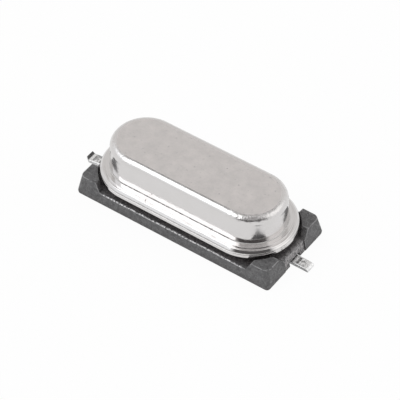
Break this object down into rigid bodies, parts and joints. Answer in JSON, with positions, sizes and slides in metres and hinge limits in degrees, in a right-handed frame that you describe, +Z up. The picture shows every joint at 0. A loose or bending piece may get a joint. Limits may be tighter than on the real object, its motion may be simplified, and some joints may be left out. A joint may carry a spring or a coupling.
{
  "type": "crystal oscillator",
  "caption": "Low metal-can quartz crystal unit: a stepped oval can welded to a header, on a dark moulded seat with corner blocks and a flat solder tab at each end.",
  "frame": {"origin": "middle of the seating plane, under the centre of the can, on which the seat and both tabs stand", "axes": "+X along the length, from the left lead tab to the right one; +Y across the width; +Z up, away from the board"},
  "size_m": [0.0132, 0.0048, 0.0032],
  "materials": {
    "can_metal": "satin nickel, polished on its walls and ledges",
    "header_metal": "bright nickel",
    "seat_plastic": "dark grey moulded plastic, fine matt texture",
    "lead_tin": "bright tin, coined on the tabs",
    "seal_glass": "fused sealing glass",
    "quartz": "lapped clear quartz",
    "electrode_silver": "evaporated silver",
    "clip_metal": "bare spring strip",
    "adhesive": "cured silver-filled adhesive"
  },
  "bodies": {
    "root": {"seat": "seat_plastic", "header": "header_metal", "cap": "can_metal", "glass_seal_left": "seal_glass", "glass_seal_right": "seal_glass", "lead_left": "lead_tin", "lead_right": "lead_tin", "mount_clip_left": "clip_metal", "mount_clip_right": "clip_metal", "quartz_blank": "quartz", "electrode_top": "electrode_silver", "electrode_bottom": "electrode_silver", "adhesive_left": "adhesive", "adhesive_right": "adhesive"}
  },
  "joints": []
}
